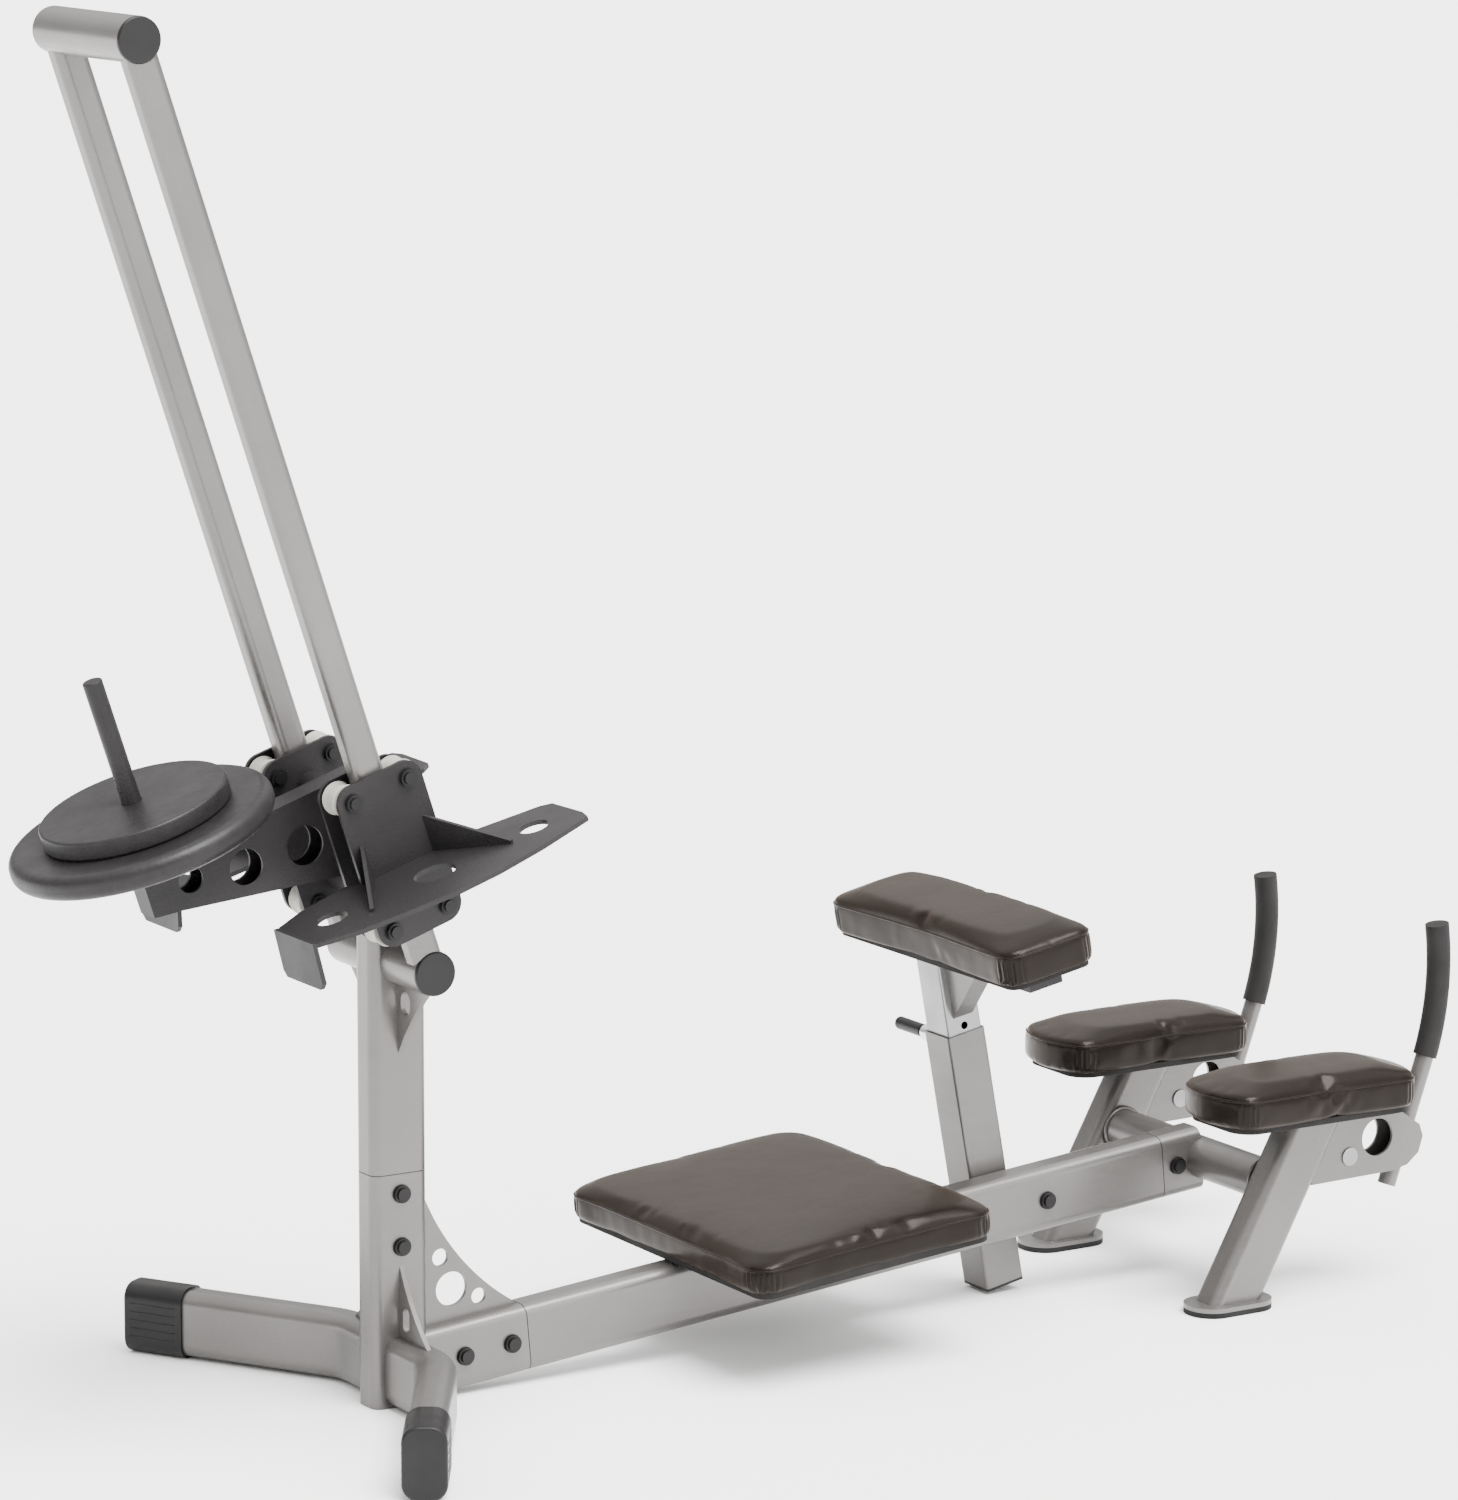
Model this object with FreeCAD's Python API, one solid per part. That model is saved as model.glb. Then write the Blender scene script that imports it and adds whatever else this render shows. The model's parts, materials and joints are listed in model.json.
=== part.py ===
import FreeCAD, Part
import math
import os

# Kneeling glute press machine: a low base frame with a leaning pair of guide rails, a roller carriage
# with two step plates and a weight post, a knee pad, a chest pad on a sliding post and two forearm
# rests with hand grips.  Millimetres, +Z up, +X runs from the upright to the hand grips, +Y is the far
# side.  Everything is first laid out with the front face of the upright at X = 0 and the floor at Z = 0,
# then moved so that the origin is the middle of the footprint.

os.makedirs("parts", exist_ok=True)

V = FreeCAD.Vector
Y_AXIS = V(0, 1, 0)

# ---- driving dimensions -------------------------------------------------------------------------
tube_width = 50.0            # all flat-sided frame tubes, across Y
upright_depth = 80.0         # upright tube along X
beam_height = 88.0           # main beam and base arms
leg_depth = 74.0             # rear legs
tube_corner = 14.0
tube_wall = 3.0
insert_play = 0.4            # gap between an inner sleeve and the tube around it

round_radius = 28.6          # the three round cross tubes
round_wall = 3.0
cap_thickness = 4.5

post_top = 304.5             # joint between base post and upright
upright_top = 621.0

beam_slope = 5.28            # degrees, the beam climbs towards the grips
beam_axis_height = 40.6      # beam axis at X = 0
seam_front = 226.0
seam_rear = 1233.5
seam_gap = 1.2

arm_sweep = 32.0             # degrees
arm_bend_y = 118.0
arm_bend_radius = 90.0
arm_end_y = 388.0
arm_axis_height = 47.0
arm_cap_length = 82.0
arm_cap_wall = 3.6

rail_lean = 18.45            # degrees, top leans away from the user
rail_foot = V(33.43, 0, 600.0)
rail_y = 99.0
rail_width = 34.5
rail_depth = 41.0
rail_corner = 11.0
rail_wall = 2.5
top_tube = V(-350.3, 0, 1750.0)
low_tube = V(40.3, 0, 580.7)
cross_half = 114.0

roller_n = 39.8              # roller axis from the rail axis
roller_low = 59.5
roller_high = 235.0
roller_radius = 18.6
roller_flange = 21.4
roller_half = 14.5
roller_bore = 5.06
axle_radius = 5.0

plate_outer = 123.0          # centre of the outer side plates in Y
plate_inner = 75.0
plate_thick = 6.0
plate_low = 39.0
plate_high = 257.0
plate_half = 61.0
plate_corner = 24.0

arm_half = 19.0              # weight arm
arm_top = 232.0
horn_n = -265.0              # weight post axis
horn_radius = 12.7          # where it carries the stored plates
horn_free_radius = 12.5
horn_step = 318.0
horn_top = 478.0
collar_top = 258.5
large_radius = 169.0
large_top = 291.0
small_radius = 120.0
small_top = 316.0

step_u = 133.0               # top face of the step plates
step_thick = 6.0

sleeve_size = 60.0
sleeve_wall = 2.5
chest_post_lean = 10.8
chest_post_foot = V(936.0, 55.1, 367.0)
inner_size = 54.0

leg_lean = 29.0
leg_y = 195.0
leg_foot = V(1228.0, 0, 34.0)
rear_tube = V(1297.0, 0, 161.5)

handle_radius = 12.7
grip_radius = 16.5

bolt_radius = 5.0
bolt_cap = 11.5

footprint_middle = 556.6     # X of the middle of the footprint, from the front face of the upright


# ---- small helpers ------------------------------------------------------------------------------
def bar(size_x, size_y, corner, length):
    """Solid bar along +Z with rounded corners, centred on the axis."""
    box = Part.makeBox(size_x, size_y, length, V(-size_x / 2, -size_y / 2, 0))
    if corner <= 0:
        return box
    edges = [e for e in box.Edges if abs(e.tangentAt(e.FirstParameter).z) > 0.99]
    return box.makeFillet(corner, edges)


def hollow(size_x, size_y, corner, length, wall):
    """Tube along +Z."""
    inner = bar(size_x - 2 * wall, size_y - 2 * wall, max(corner - wall, 0.5), length + 2)
    inner.translate(V(0, 0, -1))
    return bar(size_x, size_y, corner, length).cut(inner)


def turned(shape, axis, angle):
    """Copy rotated about an axis through the origin."""
    out = shape.copy()
    out.rotate(V(0, 0, 0), axis, angle)
    return out


def moved(shape, vector):
    out = shape.copy()
    out.translate(vector)
    return out


def mirrored(shape):
    """The same piece on the other side of the machine."""
    return shape.mirror(V(0, 0, 0), Y_AXIS)


def both(shape):
    return [shape, mirrored(shape)]


def rod(radius, start, end):
    axis = end.sub(start)
    return Part.makeCylinder(radius, axis.Length, start, axis)


def pipe(radius, wall, start, end):
    axis = end.sub(start)
    inner = Part.makeCylinder(radius - wall, axis.Length + 2, start.sub(V(axis).normalize()), axis)
    return rod(radius, start, end).cut(inner)


def slab(points, axis, start, thickness):
    """Flat plate from a closed outline given in the plane across the axis."""
    if axis == "y":
        ring = [V(a, start, b) for a, b in points]
        direction = V(0, thickness, 0)
    elif axis == "x":
        ring = [V(start, a, b) for a, b in points]
        direction = V(thickness, 0, 0)
    else:
        ring = [V(a, b, start) for a, b in points]
        direction = V(0, 0, thickness)
    wire = Part.makePolygon(ring + [ring[0]])
    return Part.Face(wire).extrude(direction)


def round_edges(shape, radius, direction):
    """Fillet all straight edges that run along a direction."""
    edges = []
    for edge in shape.Edges:
        if isinstance(edge.Curve, Part.Line):
            if abs(edge.tangentAt(edge.FirstParameter).dot(direction)) > 0.999:
                edges.append(edge)
    return shape.makeFillet(radius, edges)


def less(shape, *others):
    out = shape
    for other in others:
        out = out.cut(other)
    return out


def in_beam(shape):
    """From the beam's own frame (+X along the beam, Z across it) to the machine."""
    out = turned(shape, Y_AXIS, -beam_slope)
    out.translate(V(0, 0, beam_axis_height))
    return out


def in_rail(shape):
    """From the rail frame (+Z up the rail, +X towards the user) to the machine."""
    out = turned(shape, Y_AXIS, -rail_lean)
    out.translate(rail_foot)
    return out


def in_chest(shape):
    """From the chest post frame (+Z up the post) to the machine."""
    out = turned(shape, Y_AXIS, -chest_post_lean)
    out.translate(chest_post_foot)
    return out


def in_leg(shape):
    """From the leg frame (+Z up the leg) to the machine, far side."""
    out = turned(shape, Y_AXIS, leg_lean)
    out.translate(leg_foot.add(V(0, leg_y, 0)))
    return out


def along_x(shape):
    """Bar modelled along +Z laid along +X, its size_x standing upright."""
    return turned(shape, Y_AXIS, 90)


nodes = {}


def keep(name, shapes):
    if not isinstance(shapes, list):
        shapes = [shapes]
    solids = []
    for shape in shapes:
        solids.extend(shape.Solids)
    nodes[name] = solids


def bolt(x, y_half, z, radius=bolt_radius, cap=bolt_cap):
    """Through bolt along Y with a domed cover on both ends."""
    body = rod(radius, V(x, -y_half, z), V(x, y_half, z))
    for side in (-1, 1):
        skirt = rod(cap, V(x, side * y_half, z), V(x, side * (y_half + 5.0), z))
        crown = rod(cap * 0.72, V(x, side * (y_half + 5.0), z), V(x, side * (y_half + 8.5), z))
        rim = rod(cap * 1.06, V(x, side * y_half, z), V(x, side * (y_half + 1.6), z))
        body = body.fuse([skirt, crown, rim])
    return body.removeSplitter()


# ---- base post and upright ----------------------------------------------------------------------
post_bar = moved(bar(upright_depth, tube_width, tube_corner, post_top), V(upright_depth / 2, 0, 0))
post_solid = post_bar
upright_length = upright_top - post_top - seam_gap
upright_bar = moved(bar(upright_depth, tube_width, tube_corner, upright_length),
                    V(upright_depth / 2, 0, post_top + seam_gap))
upright_core = moved(bar(upright_depth - 2 * tube_wall, tube_width - 2 * tube_wall,
                         tube_corner - tube_wall, upright_length + 2),
                     V(upright_depth / 2, 0, post_top + seam_gap - 1))
post_core = moved(bar(upright_depth - 2 * tube_wall, tube_width - 2 * tube_wall,
                      tube_corner - tube_wall, post_top + 2), V(upright_depth / 2, 0, -1))
across = V(0, cross_half + 12.0, 0)
cross_low_solid = rod(round_radius, low_tube.sub(across), low_tube.add(across))
cross_top_solid = rod(round_radius, top_tube.sub(across), top_tube.add(across))

upright_bolts = [(upright_depth / 2, 210.0), (upright_depth / 2, 279.0)]
post = less(post_bar, post_core)
upright = less(upright_bar, upright_core, cross_low_solid)
insert_x = upright_depth - 2 * tube_wall - 2 * insert_play
insert_y = tube_width - 2 * tube_wall - 2 * insert_play
sleeve_in = moved(hollow(insert_x, insert_y, tube_corner - tube_wall - insert_play, 300.0, 3.0),
                  V(upright_depth / 2, 0, 170.0))
for bx, bz in upright_bolts:
    hole = rod(bolt_radius + 0.2, V(bx, -40, bz), V(bx, 40, bz))
    post = post.cut(hole)
    sleeve_in = sleeve_in.cut(hole)
plug = moved(bar(upright_depth - 2 * tube_wall - 0.2, tube_width - 2 * tube_wall - 0.2,
                 tube_corner - tube_wall, 22.0), V(upright_depth / 2, 0, 0))
keep("base_post", post)
keep("base_post_plug", plug)
keep("upright", upright)
keep("upright_insert", sleeve_in)
top_plate = bar(upright_depth - 2, tube_width - 2, tube_corner - 1, 4.0)
top_plate.translate(V(upright_depth / 2, 0, upright_top))
keep("upright_top_plate", top_plate)

# ---- swept base arms ----------------------------------------------------------------------------
sweep = math.radians(arm_sweep)
tangent = arm_bend_radius * math.tan(sweep / 2)
arm_x = upright_depth / 2
bend_start = V(arm_x, arm_bend_y - tangent, arm_axis_height)
bend_end = V(arm_x - tangent * math.sin(sweep), arm_bend_y + tangent * math.cos(sweep), arm_axis_height)
bend_centre = V(arm_x - arm_bend_radius, arm_bend_y - tangent, arm_axis_height)
bend_mid = bend_centre.add(V(arm_bend_radius * math.cos(sweep / 2), arm_bend_radius * math.sin(sweep / 2), 0))
arm_run = (arm_end_y - arm_bend_y) / math.cos(sweep)
arm_end = V(arm_x - arm_run * math.sin(sweep), arm_end_y, arm_axis_height)
arm_start = V(arm_x, 0.0, arm_axis_height)


def arm_body(width, height, corner, start, end):
    spine = Part.Wire([
        Part.makeLine(start, bend_start),
        Part.Arc(bend_start, bend_mid, bend_end).toShape(),
        Part.makeLine(bend_end, end),
    ])
    section = bar(width, height, corner, 1.0)
    ring = [f for f in section.Faces if abs(f.CenterOfMass.z) < 1e-6][0].OuterWire
    ring = ring.copy()
    ring.rotate(V(0, 0, 0), V(1, 0, 0), -90)
    ring.translate(start)
    return spine.makePipeShell([ring], True, False)


arm_direction = V(-math.sin(sweep), math.cos(sweep), 0)
arm_outer = arm_body(tube_width, beam_height, tube_corner + 4, arm_start, arm_end)
arm_inner = arm_body(tube_width - 2 * tube_wall, beam_height - 2 * tube_wall, tube_corner + 4 - tube_wall,
                     arm_start.sub(V(0, 1, 0)), arm_end.add(V(arm_direction).multiply(2)))
arm_far = less(arm_outer, arm_inner, post_solid)
keep("base_arms", both(arm_far))
cap_back = arm_end.sub(V(arm_direction).multiply(arm_cap_length))
cap_front = arm_end.add(V(arm_direction).multiply(6.0))
cap_bar = bar(tube_width + 2 * arm_cap_wall, beam_height + 6.0, tube_corner + 7, arm_cap_length + 6.0)
cap_bar = turned(cap_bar, V(1, 0, 0), -90)
cap_bar = turned(cap_bar, V(0, 0, 1), arm_sweep)
cap_bar.translate(cap_back)
cap_edges = []
for edge in cap_bar.Edges:
    middle = edge.valueAt((edge.FirstParameter + edge.LastParameter) / 2)
    if abs(middle.sub(cap_front).dot(arm_direction)) < 0.01:
        cap_edges.append(edge)
cap_bar = cap_bar.makeFillet(4.0, cap_edges)
arm_cap = less(cap_bar, arm_outer)
keep("base_arm_caps", both(arm_cap))

# ---- main beam, stubs and inner sleeves ---------------------------------------------------------
def beam_bar(start, end):
    return in_beam(moved(along_x(bar(beam_height, tube_width, tube_corner, end - start)), V(start, 0, 0)))


def beam_tube(start, end):
    return in_beam(moved(along_x(hollow(beam_height, tube_width, tube_corner, end - start, tube_wall)),
                         V(start, 0, 0)))


def beam_sleeve(start, end):
    piece = hollow(beam_height - 2 * tube_wall - 2 * insert_play, tube_width - 2 * tube_wall - 2 * insert_play,
                   tube_corner - tube_wall - insert_play, end - start, 3.0)
    return in_beam(moved(along_x(piece), V(start, 0, 0)))


rear_solid = rod(round_radius, V(rear_tube.x, -167.0, rear_tube.z), V(rear_tube.x, 167.0, rear_tube.z))
front_stub = less(beam_tube(20.0, seam_front), post_solid, arm_outer, mirrored(arm_outer))
front_stub = max(front_stub.Solids, key=lambda s: s.Volume)
main_beam = beam_tube(seam_front + seam_gap, seam_rear)
rear_stub = less(beam_tube(seam_rear + seam_gap, 1300.0), rear_solid)
rear_stub = max(rear_stub.Solids, key=lambda s: s.BoundBox.XLength)
sleeve_front = beam_sleeve(104.0, 330.0)
sleeve_rear = beam_sleeve(990.0, 1266.0)
beam_bolts = [132.0, 201.5, 1040.0, 1257.5]
for s in beam_bolts:
    hole = in_beam(rod(bolt_radius + 0.2, V(s, -40, 0), V(s, 40, 0)))
    front_stub = front_stub.cut(hole)
    main_beam = main_beam.cut(hole)
    rear_stub = rear_stub.cut(hole)
    sleeve_front = sleeve_front.cut(hole)
    sleeve_rear = sleeve_rear.cut(hole)
keep("front_stub", front_stub)
keep("main_beam", main_beam)
keep("rear_stub", rear_stub)
keep("beam_inserts", [sleeve_front, sleeve_rear])
bolt_half = tube_width / 2
bolts = [bolt(bx, bolt_half, bz) for bx, bz in upright_bolts]
bolts += [in_beam(bolt(s, bolt_half, 0.0)) for s in beam_bolts]
keep("frame_bolts", bolts)

# ---- gussets ------------------------------------------------------------------------------------
front_tip = V(upright_depth, 0, 276.0)
beam_top_z = beam_axis_height + beam_height / 2
tip_x = 221.0
rise = math.tan(math.radians(beam_slope))
front_low = V(tip_x, 0, beam_axis_height + beam_height / 2 / math.cos(math.radians(beam_slope)) + tip_x * rise)
arc = Part.Arc(front_tip, V(138.0, 0, 176.5), front_low).toShape()
corner_point = V(upright_depth - 5, 0, 70.0)
outline = Part.Wire([arc, Part.makeLine(front_low, V(tip_x, 0, 70.0)),
                     Part.makeLine(V(tip_x, 0, 70.0), corner_point),
                     Part.makeLine(corner_point, V(upright_depth - 5, 0, 276.0)),
                     Part.makeLine(V(upright_depth - 5, 0, 276.0), front_tip)])
front_gusset = Part.Face(outline).extrude(V(0, 6.0, 0))
front_gusset.translate(V(0, -3.0, 0))
for hx, hz, hr in ((108.0, 181.0, 11.5), (124.0, 137.5, 22.5), (164.0, 122.5, 10.5)):
    front_gusset = front_gusset.cut(rod(hr, V(hx, -10, hz), V(hx, 10, hz)))
front_gusset = less(front_gusset, post_solid, beam_bar(20.0, seam_front))
front_gusset = max(front_gusset.Solids, key=lambda s: s.Volume)
keep("front_gusset", front_gusset)


def side_gusset(top_z, low_y, low_z, mid, hole_y, hole_z, hole_w, hole_h):
    """Curved web between the side face of the upright and a tube that leaves it sideways."""
    half = tube_width / 2
    top = V(0, half, top_z)
    low = V(0, low_y, low_z)
    curve = Part.Arc(top, V(0, mid[0], mid[1]), low).toShape()
    ring = Part.Wire([curve, Part.makeLine(low, V(0, half, low_z)), Part.makeLine(V(0, half, low_z), top)])
    web = Part.Face(ring).extrude(V(6.0, 0, 0))
    web.translate(V(upright_depth / 2 - 3.0, 0, 0))
    slot = turned(bar(hole_h, hole_w, min(hole_w, hole_h) / 2 - 0.01, 40.0), Y_AXIS, 90)
    slot.translate(V(upright_depth / 2 - 20.0, hole_y, hole_z))
    return web.cut(slot)


lower_web = less(side_gusset(184.0, 99.0, 88.0, (57.0, 131.0), 41.0, 117.0, 17.0, 31.0), arm_outer)
keep("base_side_gussets", both(lower_web))
upper_web = less(side_gusset(462.0, 118.0, 566.0, (58.0, 508.0), 44.5, 529.0, 24.0, 30.0), cross_low_solid)
upper_web = max(upper_web.Solids, key=lambda s: s.Volume)
keep("upright_side_gussets", both(upper_web))

# ---- round cross tubes and guide rails ----------------------------------------------------------
def cross_pipe(centre, half):
    return pipe(round_radius, round_wall, V(centre.x, -half, centre.z), V(centre.x, half, centre.z))


keep("lower_cross_tube", cross_pipe(low_tube, cross_half))
keep("top_cross_tube", cross_pipe(top_tube, cross_half))


def tube_cap(centre, side):
    y = side * cross_half
    disc = rod(round_radius - 0.3, V(centre.x, y, centre.z), V(centre.x, y + side * cap_thickness, centre.z))
    rim = [e for e in disc.Edges if abs(e.CenterOfMass.y - (y + side * cap_thickness)) < 0.01]
    disc = disc.makeFillet(2.5, rim)
    spigot_end = V(centre.x, y - side * 16.0, centre.z)
    spigot = rod(round_radius - round_wall - 0.1, V(centre.x, y, centre.z), spigot_end)
    return disc.fuse(spigot).removeSplitter()


caps = []
for centre in (low_tube, top_tube):
    for side in (-1, 1):
        caps.append(tube_cap(centre, side))
keep("cross_tube_caps", caps)

rail_length = 1260.0
rail_far = in_rail(moved(hollow(rail_depth, rail_width, rail_corner, rail_length, rail_wall),
                         V(0, rail_y, -30.0)))
rail_far = less(rail_far, cross_low_solid, cross_top_solid)
rail_far = max(rail_far.Solids, key=lambda s: s.Volume)
keep("guide_rails", both(rail_far))

# rubber stop on the upright under the carriage
bumper = in_rail(rod(17.0, V(2.0, 0, 20.0), V(2.0, 0, 63.4)))
head_block = bar(upright_depth + 20, tube_width + 20, 0, 60.0)
head_block.translate(V(upright_depth / 2, 0, upright_top - 56.0))
keep("carriage_bumper", less(bumper, head_block))

# ---- rear cross tube, legs and feet -------------------------------------------------------------
keep("rear_cross_tube", pipe(round_radius, round_wall, V(rear_tube.x, -167.0, rear_tube.z),
                             V(rear_tube.x, 167.0, rear_tube.z)))
leg_top_z = 250.0
foot_top = 13.0
leg_bar = in_leg(moved(bar(leg_depth, tube_width, tube_corner, 420.0), V(0, 0, -120.0)))
leg_core = bar(leg_depth - 2 * tube_wall, tube_width - 2 * tube_wall, tube_corner - tube_wall, 440.0)
leg_core = in_leg(moved(leg_core, V(0, 0, -130.0)))
leg_window = Part.makeBox(600, 200, leg_top_z - foot_top, V(1000, leg_y - 100, foot_top))
leg_far = leg_bar.cut(leg_core).common(leg_window)
keep("rear_legs", both(leg_far))
foot_x = 1214.0
foot_y = 197.0
foot_far = moved(bar(128.0, 74.0, 35.0, 6.0), V(foot_x, foot_y, foot_top - 6.0))
rubber_far = moved(bar(128.0, 74.0, 35.0, 7.0), V(foot_x, foot_y, 0))
keep("foot_plates", both(foot_far))
keep("foot_pads", both(rubber_far))

# ---- forearm rests ------------------------------------------------------------------------------
rest_front = 1167.0
rest_back = 1503.0
rest_bow = 26.0              # how far the ends bulge
rest_x = (rest_front + rest_back) / 2
rest_y = 190.0
rest_length = rest_back - rest_front
rest_width = 158.0
top_plate_far = moved(bar(150.0, 90.0, 10.0, 4.0), V(rest_x + 16.0, leg_y, leg_top_z))
keep("leg_top_plates", both(top_plate_far))
board_far = moved(bar(rest_length - 44.0, rest_width - 24.0, 32.0, 8.0), V(rest_x, rest_y, leg_top_z + 4.0))
keep("elbow_pad_boards", both(board_far))
pad_ring = Part.Wire([
    Part.Arc(V(rest_front + rest_bow, -rest_width / 2, 0), V(rest_front, 0, 0),
             V(rest_front + rest_bow, rest_width / 2, 0)).toShape(),
    Part.makeLine(V(rest_front + rest_bow, rest_width / 2, 0), V(rest_back - rest_bow, rest_width / 2, 0)),
    Part.Arc(V(rest_back - rest_bow, rest_width / 2, 0), V(rest_back, 0, 0),
             V(rest_back - rest_bow, -rest_width / 2, 0)).toShape(),
    Part.makeLine(V(rest_back - rest_bow, -rest_width / 2, 0), V(rest_front + rest_bow, -rest_width / 2, 0)),
])
pad_far = Part.Face(pad_ring).extrude(V(0, 0, 48.0))
pad_far = round_edges(pad_far, 26.0, V(0, 0, 1))
pad_far.translate(V(0, rest_y, leg_top_z + 12.0))
rim = [e for e in pad_far.Edges if abs(e.CenterOfMass.z - (leg_top_z + 60.0)) < 0.01]
pad_far = pad_far.makeFillet(12.0, rim)
keep("elbow_pad_far", pad_far)
keep("elbow_pad_near", mirrored(pad_far))

# ---- grip brackets, handle tubes and hand grips -------------------------------------------------
bracket_half = 18.0
shell = 4.0
bracket_ring = [(1340.0, 158.0), (1478.0, 160.5), (1503.0, 166.0), (1522.0, 181.0), (1529.0, 203.0),
                (1523.0, 220.0), (1494.0, 240.0), (1478.0, 247.0), (1340.0, 247.0)]
bracket_hole = V(1450.5, 0, 211.0)


def grip_bracket():
    outer = slab(bracket_ring, "y", leg_y - bracket_half, 2 * bracket_half)
    inner_face = slab(bracket_ring, "y", leg_y - bracket_half + shell, 2 * bracket_half - 2 * shell)
    face = [f for f in inner_face.Faces if abs(f.normalAt(0, 0).y) > 0.9 and f.CenterOfMass.y < leg_y][0]
    ring = face.OuterWire.makeOffset2D(-shell)
    core = Part.Face(ring).extrude(V(0, 2 * bracket_half - 2 * shell, 0))
    body = outer.cut(core)
    body = body.cut(rod(26.0, V(bracket_hole.x, 100, bracket_hole.z), V(bracket_hole.x, 300, bracket_hole.z)))
    return body




handle_low = V(1481.5, leg_y, 137.0)
handle_mid = V(1543.0, leg_y, 309.7)
handle_high = V(1559.5, leg_y, 489.0)
handle_curve = Part.Arc(handle_mid, V(1561.0, leg_y, 392.0), handle_high)


def swept(radius, spine, at, direction):
    ring = Part.Wire(Part.Circle(at, direction, radius).toShape())
    return spine.makePipeShell([ring], True, False)


handle_wire = Part.Wire([Part.makeLine(handle_low, handle_mid), handle_curve.toShape()])
handle_dir = handle_mid.sub(handle_low)
handle_solid = swept(handle_radius, handle_wire, handle_low, handle_dir)
handle_far = handle_solid
curve_edge = handle_curve.toShape()
curve_dir = curve_edge.tangentAt(curve_edge.FirstParameter)
grip_outer = swept(grip_radius, Part.Wire([curve_edge]), handle_mid, curve_dir)
end_dir = curve_edge.tangentAt(curve_edge.LastParameter)
grip_end = Part.makeCylinder(grip_radius, 4.0, handle_high, end_dir)
grip_far = grip_outer.fuse(grip_end).cut(handle_solid)
grip_far = max(grip_far.Solids, key=lambda s: s.Volume)
bracket_far = less(grip_bracket(), leg_bar, handle_solid)
bracket_far = max(bracket_far.Solids, key=lambda s: s.Volume)
disc_far = rod(12.5, V(1403.0, leg_y - bracket_half - 2.5, 190.0), V(1403.0, leg_y + bracket_half + 2.5, 190.0))
bracket_far = bracket_far.cut(rod(12.5, V(1403.0, 100, 190.0), V(1403.0, 300, 190.0)))
keep("grip_brackets", both(bracket_far))
keep("bracket_studs", both(disc_far))
keep("handle_tubes", both(handle_far))
keep("hand_grips", both(grip_far))

# ---- knee pad -----------------------------------------------------------------------------------
knee_front = 440.0
knee_back = 823.0
knee_half = 252.0
knee_mid = (knee_front + knee_back) / 2
knee_length = knee_back - knee_front
beam_up = beam_height / 2
straps = []
for s in (520.0, 740.0):
    straps.append(in_beam(Part.makeBox(50, 300, 4, V(s - 25, -150, beam_up))))
keep("knee_pad_straps", straps)
keep("knee_pad_board", in_beam(moved(bar(knee_length - 26, 2 * knee_half - 26, 22.0, 10.0),
                                     V(knee_mid, 0, beam_up + 4.0))))
knee_pad = moved(bar(knee_length, 2 * knee_half, 34.0, 38.0), V(knee_mid, 0, beam_up + 14.0))
rim = [e for e in knee_pad.Edges if abs(e.CenterOfMass.z - (beam_up + 52.0)) < 0.01]
knee_pad = knee_pad.makeFillet(10.0, rim)
keep("knee_pad", in_beam(knee_pad))

# ---- chest post, sleeve and chest pad -----------------------------------------------------------
sleeve_low = -360.0
sleeve_top = 4.0
half_sleeve = sleeve_size / 2
sleeve_bar = moved(bar(sleeve_size, sleeve_size, 4.0, sleeve_top - sleeve_low), V(0, 0, sleeve_low))
sleeve_core = moved(bar(sleeve_size - 2 * sleeve_wall, sleeve_size - 2 * sleeve_wall, 2.0,
                        sleeve_top - sleeve_low + 2), V(0, 0, sleeve_low - 1))
sleeve = in_chest(sleeve_bar.cut(sleeve_core))
sleeve = less(sleeve, main_beam, beam_bar(seam_front, seam_rear))
pin_z = -16.0
pin_hole = in_chest(rod(5.3, V(0, 10, pin_z), V(0, 60, pin_z)))
sleeve = sleeve.cut(pin_hole)
keep("post_sleeve", sleeve)
end_cap = moved(bar(sleeve_size, sleeve_size, 4.0, 3.5), V(0, 0, sleeve_low - 3.5))
end_plug = moved(bar(sleeve_size - 2 * sleeve_wall - 0.2, sleeve_size - 2 * sleeve_wall - 0.2, 2.0, 12.0),
                 V(0, 0, sleeve_low))
keep("post_end_cap", in_chest(end_cap.fuse(end_plug).removeSplitter()))
barrel = rod(12.5, V(0, half_sleeve, pin_z), V(0, half_sleeve + 40.0, pin_z))
collar = rod(10.0, V(0, half_sleeve + 40.0, pin_z), V(0, half_sleeve + 45.0, pin_z))
barrel = barrel.fuse(collar).removeSplitter().cut(rod(5.3, V(0, 0, pin_z), V(0, 120, pin_z)))
keep("pin_barrel", in_chest(barrel))

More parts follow.
